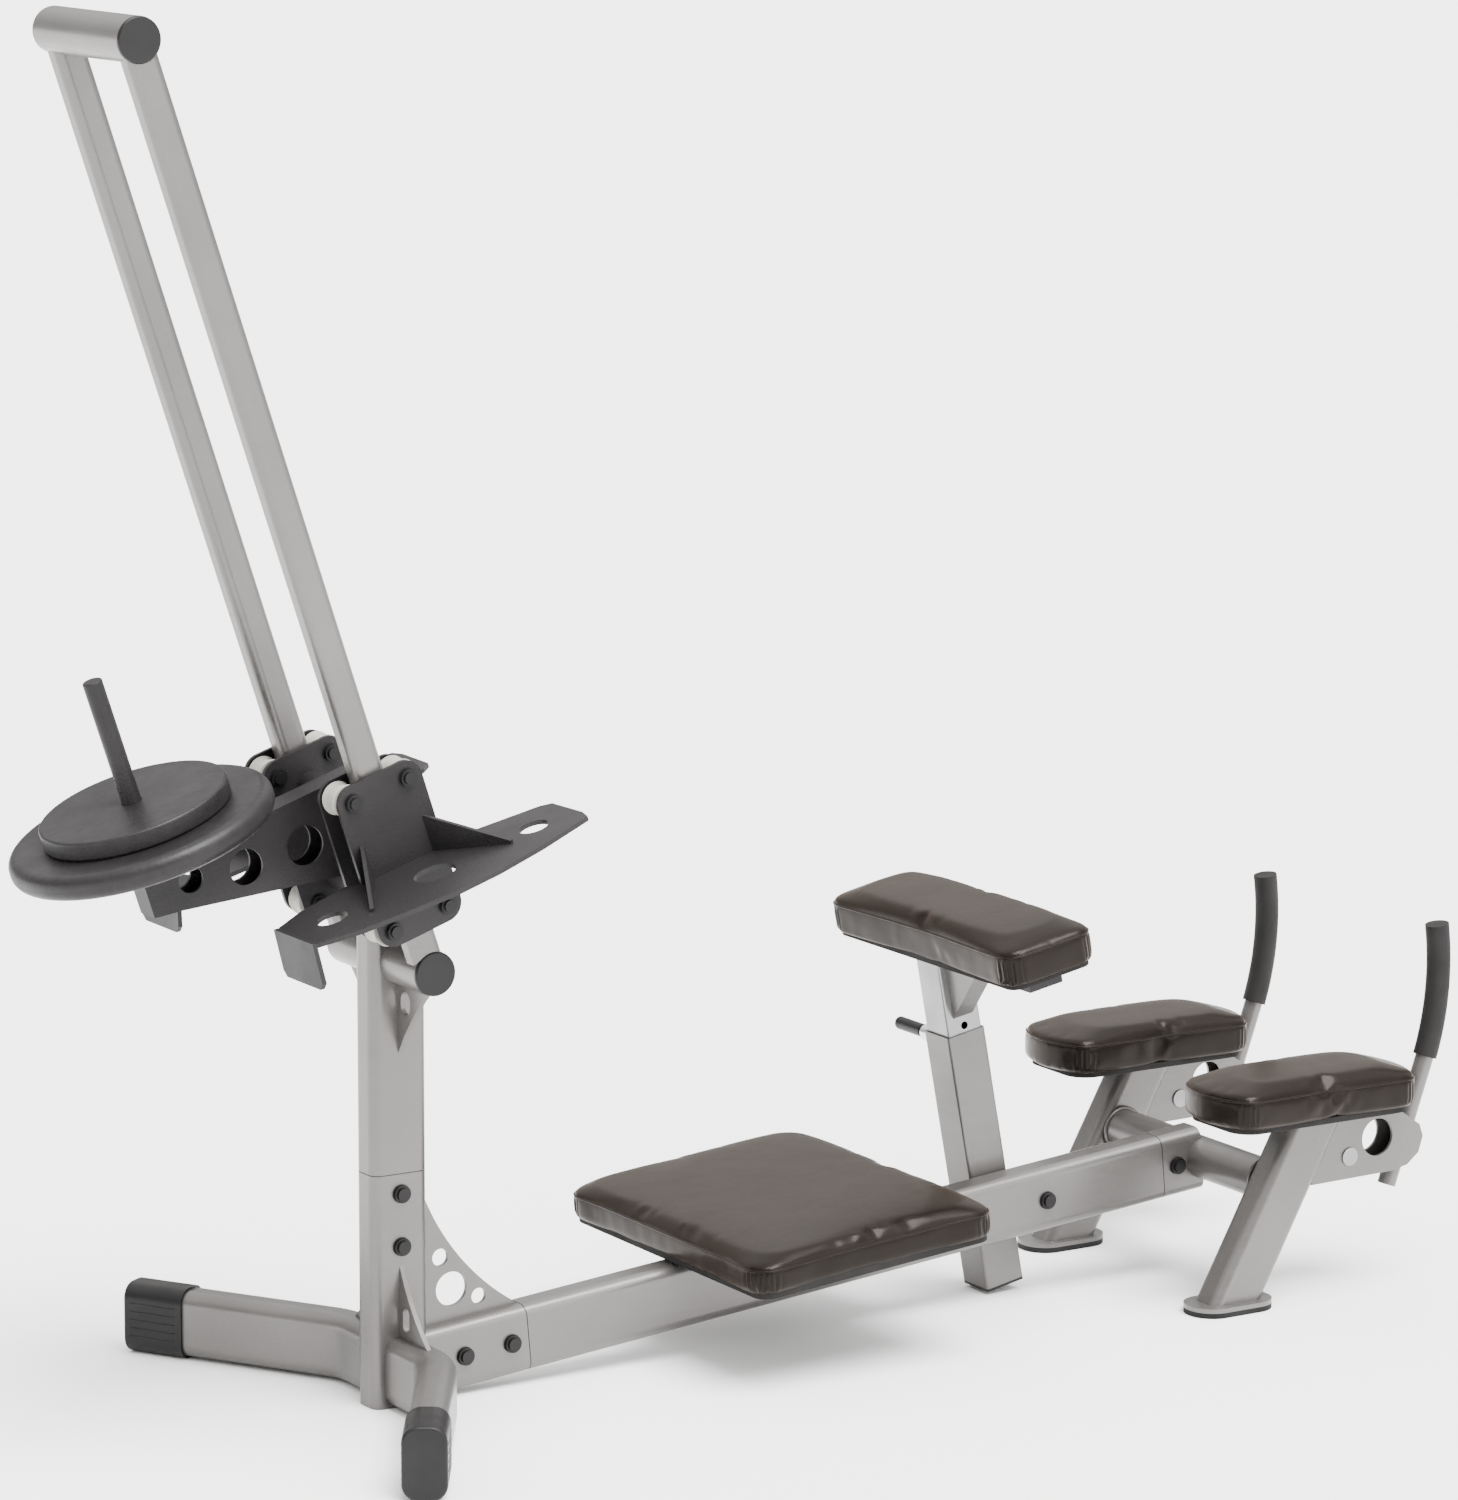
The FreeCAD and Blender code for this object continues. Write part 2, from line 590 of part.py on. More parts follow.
inner_low = -260.0
inner_top = 112.0
inner_bar = moved(bar(inner_size, inner_size, 3.0, inner_top - inner_low), V(0, 0, inner_low))
inner_core = bar(inner_size - 5.0, inner_size - 5.0, 1.5, inner_top - inner_low + 2)
inner_core.translate(V(0, 0, inner_low - 1))
inner_tube = inner_bar.cut(inner_core)
for k in range(-3, 7):
    inner_tube = inner_tube.cut(rod(5.4, V(0, -60, pin_z - 30.0 * k), V(0, 60, pin_z - 30.0 * k)))
keep("chest_tube", in_chest(inner_tube))
chest_y = -chest_post_foot.y
channel_half = 26.0
channel = Part.makeBox(2 * channel_half, 380.0, 18.0, V(-channel_half, chest_y - 190.0, inner_top))
channel_core = Part.makeBox(2 * channel_half - 6.0, 374.0, 15.0,
                            V(-channel_half + 3.0, chest_y - 187.0, inner_top + 3.0))
keep("chest_bracket", in_chest(channel.cut(channel_core)))
brace_x = 16.0
brace_in = -inner_size / 2
brace_far = brace_in - 68.0
brace_out = slab([(brace_in, inner_top), (brace_in, inner_top - 84.0), (brace_far, inner_top - 14.0),
                  (brace_far, inner_top)], "x", -brace_x, 2 * brace_x)
brace_core = slab([(brace_in + 1, inner_top + 1), (brace_in + 1, inner_top - 79.0),
                   (brace_far + 3.5, inner_top - 12.5), (brace_far + 3.5, inner_top + 1)],
                  "x", -brace_x + 3.0, 2 * brace_x - 6.0)
keep("chest_brace", in_chest(brace_out.cut(brace_core)))
chest_length = 448.0
chest_width = 150.0
chest_low = inner_top + 18.0
chest_board = moved(bar(chest_width - 22, chest_length - 22, 18.0, 8.0), V(0, chest_y, chest_low))
keep("chest_pad_board", in_chest(chest_board))
chest_pad = moved(bar(chest_width, chest_length, 26.0, 48.0), V(0, chest_y, chest_low + 8.0))
rim = [e for e in chest_pad.Edges if abs(e.CenterOfMass.z - (chest_low + 56.0)) < 0.01]
chest_pad = chest_pad.makeFillet(10.0, rim)
keep("chest_pad", in_chest(chest_pad))

pin_tip = inner_size / 2 + 0.45
pin = rod(5.0, V(0, pin_tip, pin_z), V(0, half_sleeve + 60.0, pin_z))
keep("pull_pin", in_chest(pin))
knob = rod(9.0, V(0, half_sleeve + 48.0, pin_z), V(0, half_sleeve + 110.0, pin_z))
knob_rim = [e for e in knob.Edges if e.Length < 100 and isinstance(e.Curve, Part.Circle)]
knob = knob.makeFillet(3.0, knob_rim).cut(pin)
keep("pull_knob", in_chest(knob))

# ---- carriage -----------------------------------------------------------------------------------
roller_spots = [(side, u) for side in (-1, 1) for u in (roller_low, roller_high)]


def side_plate(y):
    """Side plate across Y with its four axle holes."""
    blank = bar(2 * plate_half, plate_high - plate_low, plate_corner, plate_thick)
    blank = turned(blank, V(1, 0, 0), 90)
    blank.translate(V(0, y + plate_thick / 2, (plate_low + plate_high) / 2))
    for side, u in roller_spots:
        hole = rod(axle_radius + 0.15, V(side * roller_n, y - 20, u), V(side * roller_n, y + 20, u))
        blank = blank.cut(hole)
    return blank


inner_edge = plate_inner - plate_thick / 2
tube_high = (0.0, 206.0, 20.0)
tube_low = (2.0, 85.8, 22.0)
cross_solids = []
cross_pipes = []
for n, u, radius in (tube_high, tube_low):
    cross_solids.append(rod(radius, V(n, -inner_edge, u), V(n, inner_edge, u)))
    cross_pipes.append(pipe(radius, 3.0, V(n, -inner_edge, u), V(n, inner_edge, u)))
plates = []
for y in (plate_inner, plate_outer):
    far_plate = side_plate(y)
    plates += [far_plate, mirrored(far_plate)]
keep("carriage_plates", [in_rail(p) for p in plates])
keep("carriage_tubes", [in_rail(p) for p in cross_pipes])

arm_ring = [(-292.0, arm_top), (-292.0, 172.0), (-254.0, 165.0), (-117.0, 133.0), (26.0, 100.0),
            (26.0, arm_top)]
arm_block = slab(arm_ring, "y", -arm_half, 2 * arm_half)
inner_ring = Part.makePolygon([V(a, -arm_half + 4, b) for a, b in arm_ring + arm_ring[:1]])
arm_core = Part.Face(inner_ring.makeOffset2D(-4.0)).extrude(V(0, 2 * arm_half - 8, 0))
weight_arm = arm_block.cut(arm_core)
for n, u, radius in ((-72.0, 172.0, 25.5), (-156.0, 180.0, 23.0), (-231.0, 197.0, 17.0)):
    weight_arm = weight_arm.cut(rod(radius, V(n, -40, u), V(n, 40, u)))
horn = rod(horn_radius, V(horn_n, 0, 190.0), V(horn_n, 0, horn_step))
horn = horn.fuse(rod(horn_free_radius, V(horn_n, 0, horn_step), V(horn_n, 0, horn_top)))
horn_edge = [e for e in horn.Edges if isinstance(e.Curve, Part.Circle) and e.CenterOfMass.z > horn_top - 1]
horn = horn.makeFillet(2.5, horn_edge)
weight_arm = less(weight_arm, horn, *cross_solids)
weight_arm = max(weight_arm.Solids, key=lambda s: s.Volume)
keep("weight_arm", in_rail(weight_arm))
keep("weight_post", in_rail(horn))
seat = rod(30.0, V(horn_n, 0, arm_top), V(horn_n, 0, collar_top - 0.4))
seat = seat.cut(rod(horn_radius, V(horn_n, 0, 200), V(horn_n, 0, 300)))
keep("weight_seat", in_rail(seat))

outer_face = plate_outer + plate_thick / 2
step_ring = [(-187.0, 131.0), (-146.0, 114.0), (-84.0, 107.0), (-64.0, 106.0), (64.0, 106.0), (106.0, 124.0),
             (190.0, 149.0), (203.0, 159.0), (205.0, 230.0), (200.0, 251.0), (120.0, 271.0), (50.0, 281.0),
             (-12.0, 281.0), (-73.0, 271.0), (-137.0, 256.0), (-193.0, 231.0)]
step_far = slab(step_ring, "z", step_u - step_thick, step_thick)
for n, y, radius in ((148.0, 203.0, 19.5), (5.0, 196.0, 27.0), (-137.0, 180.0, 20.0)):
    step_far = step_far.cut(rod(radius, V(n, y, 0), V(n, y, 300)))
side_blocks = [Part.makeBox(2 * plate_half, plate_thick + 60.0, 300.0,
                            V(-plate_half, outer_face - plate_thick - 60.0, 0))]
step_far = less(step_far, *side_blocks)
step_far = max(step_far.Solids, key=lambda s: s.Volume)
flange_ring = [(131.0, step_u), (232.0, step_u), (244.0, 84.0), (236.0, 76.0), (150.0, 76.0), (142.0, 84.0)]
flange = slab(flange_ring, "x", -6.0, 6.0)
flange.translate(V(0, 0, -step_u))
flange = turned(flange, Y_AXIS, 10)
flange.translate(V(-188.0, 0, step_u))
step_far = step_far.fuse(flange).removeSplitter()
gussets = []
for n, tip_n in ((46.0, 106.0), (-46.0, -100.0)):
    reach = 94.0
    web_angle = math.degrees(math.atan2(tip_n - n, reach))
    web_length = math.hypot(tip_n - n, reach)
    web = slab([(-8.0, step_u), (-8.0, step_u + 48.0), (0.0, step_u + 48.0), (web_length, step_u + 4.0),
                (web_length, step_u)], "x", -2.5, 5.0)
    web = turned(web, V(0, 0, 1), -web_angle)
    web.translate(V(n, outer_face, 0))
    web = less(web, *side_blocks)
    web = max(web.Solids, key=lambda w: w.Volume)
    gussets += [web, mirrored(web)]
keep("step_plate_far", in_rail(step_far))
keep("step_plate_near", in_rail(mirrored(step_far)))
keep("step_gussets", [in_rail(g) for g in gussets])


def axle(n, u):
    """Axle bolt of one roller, far side, covers on both ends."""
    low = inner_edge
    high = outer_face
    body = rod(axle_radius, V(n, low, u), V(n, high, u))
    for y, sign in ((low, -1), (high, 1)):
        rim_disc = rod(11.8, V(n, y, u), V(n, y + sign * 1.6, u))
        skirt = rod(10.8, V(n, y, u), V(n, y + sign * 6.0, u))
        crown = rod(7.5, V(n, y, u), V(n, y + sign * 9.5, u))
        body = body.fuse([rim_disc, skirt, crown])
    return body.removeSplitter()


axles = []
for side, u in roller_spots:
    far_axle = axle(side * roller_n, u)
    axles += [far_axle, mirrored(far_axle)]
keep("carriage_bolts", [in_rail(a) for a in axles])


def roller(n, u):
    """Nylon roller with a shallow running groove, far side."""
    half = roller_half
    section = [(roller_bore, -half), (roller_flange - 1, -half),
               (roller_flange, -13.4), (roller_flange - 0.7, -13.0), (roller_radius, -8.5),
               (roller_radius, 8.5), (roller_flange - 0.7, 13.0), (roller_flange, 13.4),
               (roller_flange - 1, half), (roller_bore, half)]
    ring = Part.makePolygon([V(r, y, 0) for r, y in section] + [V(section[0][0], section[0][1], 0)])
    wheel = Part.Face(ring).revolve(V(0, 0, 0), Y_AXIS, 360)
    wheel.translate(V(n, rail_y, u))
    return wheel


for side, where in ((-1, "front"), (1, "back")):
    for u, level in ((roller_low, "low"), (roller_high, "high")):
        far_roller = roller(side * roller_n, u)
        keep("rollers_" + where + "_" + level, [in_rail(far_roller), in_rail(mirrored(far_roller))])


# ---- weight plates ------------------------------------------------------------------------------
def weight(radius, low, high, edge):
    disc = rod(radius, V(horn_n, 0, low), V(horn_n, 0, high))
    rims = [e for e in disc.Edges if isinstance(e.Curve, Part.Circle)]
    disc = disc.makeFillet(edge, rims)
    return disc.cut(rod(horn_radius + 0.6, V(horn_n, 0, low - 1), V(horn_n, 0, high + 1)))


keep("weight_large", in_rail(weight(large_radius, collar_top, large_top, 14.0)))
keep("weight_small", in_rail(weight(small_radius, large_top, small_top, 4.0)))

# ---- move to the middle of the footprint and write ----------------------------------------------
shift = V(-footprint_middle, 0, 0)
for name, solids in nodes.items():
    placed = [moved(s, shift) for s in solids]
    shape = placed[0] if len(placed) == 1 else Part.makeCompound(placed)
    shape.exportStep("parts/" + name + ".step")
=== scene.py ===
import json
import math
import bpy
import bmesh
from mathutils import Matrix, Vector, noise


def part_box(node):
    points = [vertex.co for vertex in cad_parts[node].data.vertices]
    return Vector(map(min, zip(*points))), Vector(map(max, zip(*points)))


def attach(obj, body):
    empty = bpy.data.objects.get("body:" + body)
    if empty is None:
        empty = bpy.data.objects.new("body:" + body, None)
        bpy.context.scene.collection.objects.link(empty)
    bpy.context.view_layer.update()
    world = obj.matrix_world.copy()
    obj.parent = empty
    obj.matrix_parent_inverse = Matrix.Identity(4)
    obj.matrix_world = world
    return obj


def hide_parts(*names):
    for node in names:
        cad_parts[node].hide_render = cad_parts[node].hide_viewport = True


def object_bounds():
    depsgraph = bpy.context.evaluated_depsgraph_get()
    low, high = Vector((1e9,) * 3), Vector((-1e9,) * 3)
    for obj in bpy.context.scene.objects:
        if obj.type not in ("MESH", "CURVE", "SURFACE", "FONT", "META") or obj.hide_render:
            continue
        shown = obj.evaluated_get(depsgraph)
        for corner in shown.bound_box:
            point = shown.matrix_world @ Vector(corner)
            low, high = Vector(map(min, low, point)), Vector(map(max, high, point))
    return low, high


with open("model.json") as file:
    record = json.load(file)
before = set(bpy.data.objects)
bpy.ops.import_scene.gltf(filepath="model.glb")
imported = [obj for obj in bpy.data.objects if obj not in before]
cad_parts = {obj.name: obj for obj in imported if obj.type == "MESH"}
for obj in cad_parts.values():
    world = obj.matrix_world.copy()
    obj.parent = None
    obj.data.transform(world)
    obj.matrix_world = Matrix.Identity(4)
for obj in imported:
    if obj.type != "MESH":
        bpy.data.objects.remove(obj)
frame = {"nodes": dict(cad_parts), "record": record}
cadLow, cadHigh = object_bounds()
nodes = frame["nodes"]
print("frame loaded:", len(nodes), "nodes")

# camera and studio
cameraView = {"place": (-4.08348, -6.55065, 2.21338), "yaw": 31.6206, "down": 10.2053, "roll": 0.1448,
              "lens": 145.14, "sensor": 36, "shiftX": 0.01535, "shiftY": -0.01343, "farEnd": 300}
studio = {"floor": (0.95, 0.95, 0.95), "floorRoughness": 0.9, "floorSize": 120, "floorGap": 0.0005,
          "sky": (1.0, 0.985, 0.97), "skyLow": 0.75, "skyHigh": 2.6, "skyFrom": 0.25, "skyTo": 0.75,
          "sunTilt": (24, 0, 8), "sunPower": 9.0, "sunSpread": 40,
          "sideTilt": (70, 0, 20), "sidePower": 1.6, "sideSpread": 40}


def makeCamera():
    cameraData = bpy.data.cameras.new("mainCamera")
    cameraData.lens = cameraView["lens"]
    cameraData.sensor_width = cameraView["sensor"]
    cameraData.shift_x = cameraView["shiftX"]
    cameraData.shift_y = cameraView["shiftY"]
    cameraData.clip_end = cameraView["farEnd"]
    camera = bpy.data.objects.new("mainCamera", cameraData)
    bpy.context.collection.objects.link(camera)
    turn = Matrix.Rotation(math.radians(-cameraView["yaw"]), 4, "Z")
    turn = turn @ Matrix.Rotation(math.radians(90 - cameraView["down"]), 4, "X")
    turn = turn @ Matrix.Rotation(math.radians(cameraView["roll"]), 4, "Z")
    camera.matrix_world = Matrix.Translation(cameraView["place"]) @ turn
    bpy.context.scene.camera = camera
    print("camera set")


def addSun(name, tilt, power, softness):
    light = bpy.data.lights.new(name, "SUN")
    light.energy = power
    light.angle = math.radians(softness)
    sun = bpy.data.objects.new(name, light)
    sun.rotation_euler = [math.radians(a) for a in tilt]
    bpy.context.collection.objects.link(sun)


def makeSky():
    # brighter overhead, like a soft ceiling light
    world = bpy.data.worlds.new("studio")
    bpy.context.scene.world = world
    world.use_nodes = True
    tree = world.node_tree
    backdrop = tree.nodes["Background"]
    backdrop.inputs["Color"].default_value = (*studio["sky"], 1)
    place = tree.nodes.new("ShaderNodeTexCoord")
    height = tree.nodes.new("ShaderNodeSeparateXYZ")
    tree.links.new(place.outputs["Generated"], height.inputs["Vector"])
    power = spread(tree, height.outputs["Z"], studio["skyLow"], studio["skyHigh"],
                   studio["skyFrom"], studio["skyTo"])
    tree.links.new(power, backdrop.inputs["Strength"])


def makeFloor():
    floorMesh = bpy.data.meshes.new("studioFloor")
    sheet = bmesh.new()
    bmesh.ops.create_grid(sheet, x_segments=1, y_segments=1, size=studio["floorSize"])
    bmesh.ops.translate(sheet, verts=sheet.verts, vec=(0, 0, cadLow.z - studio["floorGap"]))
    sheet.to_mesh(floorMesh)
    sheet.free()
    floor = bpy.data.objects.new("studioFloor", floorMesh)
    bpy.context.collection.objects.link(floor)
    finish, _, shader = newFinish("floorPaint", studio["floor"], studio["floorRoughness"])
    shader.inputs["Specular IOR Level"].default_value = 0.0
    floorMesh.materials.append(finish)


def makeStudio():
    makeSky()
    addSun("topLight", studio["sunTilt"], studio["sunPower"], studio["sunSpread"])
    addSun("sideLight", studio["sideTilt"], studio["sidePower"], studio["sideSpread"])
    makeFloor()
    print("studio done")


# building blocks of the finishes
def newFinish(name, colour, roughness, metallic=0.0):
    finish = bpy.data.materials.new(name)
    finish.use_nodes = True
    tree = finish.node_tree
    shader = tree.nodes["Principled BSDF"]
    shader.inputs["Base Color"].default_value = (*colour, 1)
    shader.inputs["Roughness"].default_value = roughness
    shader.inputs["Metallic"].default_value = metallic
    finish.diffuse_color = (*colour, 1)
    return finish, tree, shader


def objectPoint(tree, stretch=(1, 1, 1)):
    place = tree.nodes.new("ShaderNodeTexCoord")
    mapping = tree.nodes.new("ShaderNodeMapping")
    mapping.inputs["Scale"].default_value = stretch
    tree.links.new(place.outputs["Object"], mapping.inputs["Vector"])
    return mapping.outputs["Vector"]


def noiseField(tree, point, scale, detail=3.0, rough=0.55):
    field = tree.nodes.new("ShaderNodeTexNoise")
    field.inputs["Scale"].default_value = scale
    field.inputs["Detail"].default_value = detail
    field.inputs["Roughness"].default_value = rough
    tree.links.new(point, field.inputs["Vector"])
    return field.outputs["Fac"]


def cellField(tree, point, scale, kind="SMOOTH_F1"):
    field = tree.nodes.new("ShaderNodeTexVoronoi")
    field.feature = kind
    field.inputs["Scale"].default_value = scale
    tree.links.new(point, field.inputs["Vector"])
    return field.outputs["Distance"]


def spread(tree, value, low, high, fromLow=0.3, fromHigh=0.7):
    remap = tree.nodes.new("ShaderNodeMapRange")
    remap.inputs["From Min"].default_value = fromLow
    remap.inputs["From Max"].default_value = fromHigh
    remap.inputs["To Min"].default_value = low
    remap.inputs["To Max"].default_value = high
    tree.links.new(value, remap.inputs["Value"])
    return remap.outputs["Result"]


def tintSurface(tree, shader, value, look):
    # the colour drifts between the look's light and dark tones
    mix = tree.nodes.new("ShaderNodeMix")
    mix.data_type = "RGBA"
    mix.inputs["A"].default_value = (*look["light"], 1)
    mix.inputs["B"].default_value = (*look["dark"], 1)
    tree.links.new(value, mix.inputs["Factor"])
    tree.links.new(mix.outputs["Result"], shader.inputs["Base Color"])


def roughenSurface(tree, shader, value, look, fromLow=0.3, fromHigh=0.7):
    low, high = look["roughness"]
    tree.links.new(spread(tree, value, low, high, fromLow, fromHigh), shader.inputs["Roughness"])


def raiseSurface(tree, shader, height, strength, distance, below=None):
    bump = tree.nodes.new("ShaderNodeBump")
    bump.inputs["Strength"].default_value = strength
    bump.inputs["Distance"].default_value = distance
    tree.links.new(height, bump.inputs["Height"])
    if below is not None:
        tree.links.new(below, bump.inputs["Normal"])
    tree.links.new(bump.outputs["Normal"], shader.inputs["Normal"])
    return bump.outputs["Normal"]


silverLook = {"light": (0.150, 0.143, 0.138), "dark": (0.098, 0.093, 0.090), "metal": 0.62,
              "flakeScale": 900, "flakeShare": 0.45, "flakeSpan": (0.15, 0.85),
              "cloudScale": 5.0, "cloudShare": 0.4,
              "scuffScale": 6.0, "scuffStretch": (3, 3, 40), "scuffSpan": (0.35, 0.75),
              "flatRoughness": 0.34, "roughness": (0.29, 0.42),
              "peelScale": 260.0, "peelStrength": 0.10, "peelDepth": 0.0006,
              "coat": 0.12, "coatRoughness": 0.18}


def silverPaint(look):
    # metallic enamel: flakes, faint orange peel, a little handling wear
    finish, tree, shader = newFinish("silverPaint", look["light"], look["flatRoughness"], look["metal"])
    point = objectPoint(tree)
    flakes = cellField(tree, point, look["flakeScale"], "F1")
    clouds = noiseField(tree, point, look["cloudScale"], 4.0)
    tone = tree.nodes.new("ShaderNodeMath")
    tone.operation = "ADD"
    tree.links.new(spread(tree, flakes, 0.0, look["flakeShare"], *look["flakeSpan"]), tone.inputs[0])
    tree.links.new(spread(tree, clouds, 0.0, look["cloudShare"]), tone.inputs[1])
    tintSurface(tree, shader, tone.outputs[0], look)
    scuffs = noiseField(tree, objectPoint(tree, look["scuffStretch"]), look["scuffScale"], 5.0, 0.7)
    roughenSurface(tree, shader, scuffs, look, *look["scuffSpan"])
    peel = noiseField(tree, point, look["peelScale"], 2.0)
    raiseSurface(tree, shader, peel, look["peelStrength"], look["peelDepth"])
    shader.inputs["Coat Weight"].default_value = look["coat"]
    shader.inputs["Coat Roughness"].default_value = look["coatRoughness"]
    return finish


charcoalLook = {"light": (0.0125, 0.0110, 0.0118), "dark": (0.0085, 0.0076, 0.0082), "cloudScale": 9.0,
                "flatRoughness": 0.5, "roughness": (0.42, 0.56),
                "gritScale": 620.0, "gritStrength": 0.35, "gritDepth": 0.0007,
                "lumpScale": 210.0, "lumpStrength": 0.18, "lumpDepth": 0.0009, "gloss": 0.26}


def charcoalPaint(look):
    # textured powder coat
    finish, tree, shader = newFinish("charcoalPaint", look["light"], look["flatRoughness"])
    point = objectPoint(tree)
    clouds = noiseField(tree, point, look["cloudScale"], 5.0)
    tintSurface(tree, shader, spread(tree, clouds, 0, 1), look)
    roughenSurface(tree, shader, clouds, look)
    grit = cellField(tree, point, look["gritScale"])
    under = raiseSurface(tree, shader, grit, look["gritStrength"], look["gritDepth"])
    lumps = noiseField(tree, point, look["lumpScale"])
    raiseSurface(tree, shader, lumps, look["lumpStrength"], look["lumpDepth"], under)
    shader.inputs["Specular IOR Level"].default_value = look["gloss"]
    return finish


castLook = {"light": (0.0115, 0.0100, 0.0106), "dark": (0.0070, 0.0062, 0.0067),
            "flat": (0.010, 0.009, 0.0095), "pitScale": 70.0, "pitStrength": 0.30, "pitDepth": 0.0018,
            "patchScale": 12.0, "flatRoughness": 0.45, "roughness": (0.38, 0.55),
            "grainScale": 380.0, "grainStrength": 0.20, "grainDepth": 0.0006, "gloss": 0.24}


def castEnamel(look):
    # thick black enamel over a cast surface
    finish, tree, shader = newFinish("castEnamel", look["flat"], look["flatRoughness"])
    point = objectPoint(tree)
    pits = noiseField(tree, point, look["pitScale"], 5.0, 0.6)
    tintSurface(tree, shader, spread(tree, pits, 0, 1), look)
    roughenSurface(tree, shader, noiseField(tree, point, look["patchScale"], 4.0), look)
    under = raiseSurface(tree, shader, pits, look["pitStrength"], look["pitDepth"])
    grain = cellField(tree, point, look["grainScale"])
    raiseSurface(tree, shader, grain, look["grainStrength"], look["grainDepth"], under)
    shader.inputs["Specular IOR Level"].default_value = look["gloss"]
    return finish


vinylLook = {"light": (0.0034, 0.0026, 0.0022), "dark": (0.0024, 0.0019, 0.0017),
             "patchScale": 14.0, "flatRoughness": 0.36, "roughness": (0.30, 0.36),
             "pebbleScale": 640, "pebbleStrength": 0.28, "pebbleDepth": 0.0005,
             "poreScale": 1500.0, "poreStrength": 0.12, "poreDepth": 0.0002,
             "creaseScale": 26.0, "creaseStretch": (1, 1, 0.4), "creaseStrength": 0.10, "creaseDepth": 0.004,
             "gloss": 0.08, "glossTint": (1.0, 0.84, 0.74), "coat": 0.10, "coatRoughness": 0.16,
             "sheen": 0.16, "sheenRoughness": 0.45, "sheenTint": (0.50, 0.36, 0.26)}


def blackVinyl(look):
    # upholstery vinyl: pebble grain, soft creases, brown-tinged gloss
    finish, tree, shader = newFinish("blackVinyl", look["light"], look["flatRoughness"])
    point = objectPoint(tree)
    patches = noiseField(tree, point, look["patchScale"], 4.0)
    tintSurface(tree, shader, spread(tree, patches, 0, 1), look)
    roughenSurface(tree, shader, patches, look)
    pebbles = cellField(tree, point, look["pebbleScale"])
    under = raiseSurface(tree, shader, pebbles, look["pebbleStrength"], look["pebbleDepth"])
    pores = noiseField(tree, point, look["poreScale"], 2.0)
    under = raiseSurface(tree, shader, pores, look["poreStrength"], look["poreDepth"], under)
    creases = noiseField(tree, objectPoint(tree, look["creaseStretch"]), look["creaseScale"], 3.0, 0.5)
    raiseSurface(tree, shader, creases, look["creaseStrength"], look["creaseDepth"], under)
    shader.inputs["Specular IOR Level"].default_value = look["gloss"]
    shader.inputs["Specular Tint"].default_value = (*look["glossTint"], 1)
    shader.inputs["Coat Weight"].default_value = look["coat"]
    shader.inputs["Coat Roughness"].default_value = look["coatRoughness"]
    shader.inputs["Sheen Weight"].default_value = look["sheen"]
    shader.inputs["Sheen Roughness"].default_value = look["sheenRoughness"]
    shader.inputs["Sheen Tint"].default_value = (*look["sheenTint"], 1)
    return finish


# moulded, foamed and plated parts; "grain" holds its scale, strength and depth
plainGloss = 0.25
mottleScale = 16.0
plainLooks = {
    "black_plastic": {"name": "blackPlastic",
                      "light": (0.0060, 0.0055, 0.0058), "dark": (0.0040, 0.0037, 0.0039),
                      "roughness": (0.34, 0.50), "metal": 0.0, "grain": (420.0, 0.2, 0.0004)},
    "black_rubber": {"name": "blackRubber",
                     "light": (0.0075, 0.0070, 0.0072), "dark": (0.0050, 0.0048, 0.0048),
                     "roughness": (0.62, 0.80), "metal": 0.0, "grain": (300.0, 0.3, 0.0006)},
    "foam_grip": {"name": "foamGrip", "light": (0.0095, 0.0082, 0.0080), "dark": (0.0062, 0.0054, 0.0053),
                  "roughness": (0.60, 0.78), "metal": 0.0, "grain": (900.0, 0.45, 0.0009)},
    "zinc_steel": {"name": "zincSteel", "light": (0.30, 0.30, 0.305), "dark": (0.23, 0.23, 0.235),
                   "roughness": (0.28, 0.40), "metal": 0.9, "grain": (700.0, 0.2, 0.0002)},
    "chrome_steel": {"name": "chromeSteel", "light": (0.78, 0.78, 0.79), "dark": (0.70, 0.70, 0.71),
                     "roughness": (0.10, 0.20), "metal": 1.0, "grain": (300.0, 0.08, 0.0001)},
    "nylon": {"name": "nylon", "light": (0.36, 0.35, 0.32), "dark": (0.29, 0.28, 0.25),
              "roughness": (0.40, 0.55), "metal": 0.0, "grain": (350.0, 0.2, 0.0002), "depthGlow": 0.08},
    "board": {"name": "backingBoard", "light": (0.010, 0.009, 0.0085), "dark": (0.007, 0.0062, 0.006),
              "roughness": (0.75, 0.9), "metal": 0.0, "grain": (500.0, 0.35, 0.0008)},
}


def plainFinish(look):
    # mottled colour, uneven gloss, fine relief
    finish, tree, shader = newFinish(look["name"], look["light"], look["roughness"][0], look["metal"])
    point = objectPoint(tree)
    mottle = noiseField(tree, point, mottleScale, 4.0)
    tintSurface(tree, shader, spread(tree, mottle, 0, 1), look)
    roughenSurface(tree, shader, mottle, look)
    scale, strength, depth = look["grain"]
    raiseSurface(tree, shader, noiseField(tree, point, scale), strength, depth)
    shader.inputs["Specular IOR Level"].default_value = plainGloss
    shader.inputs["Subsurface Weight"].default_value = look.get("depthGlow", 0.0)
    return finish


finishes = {}


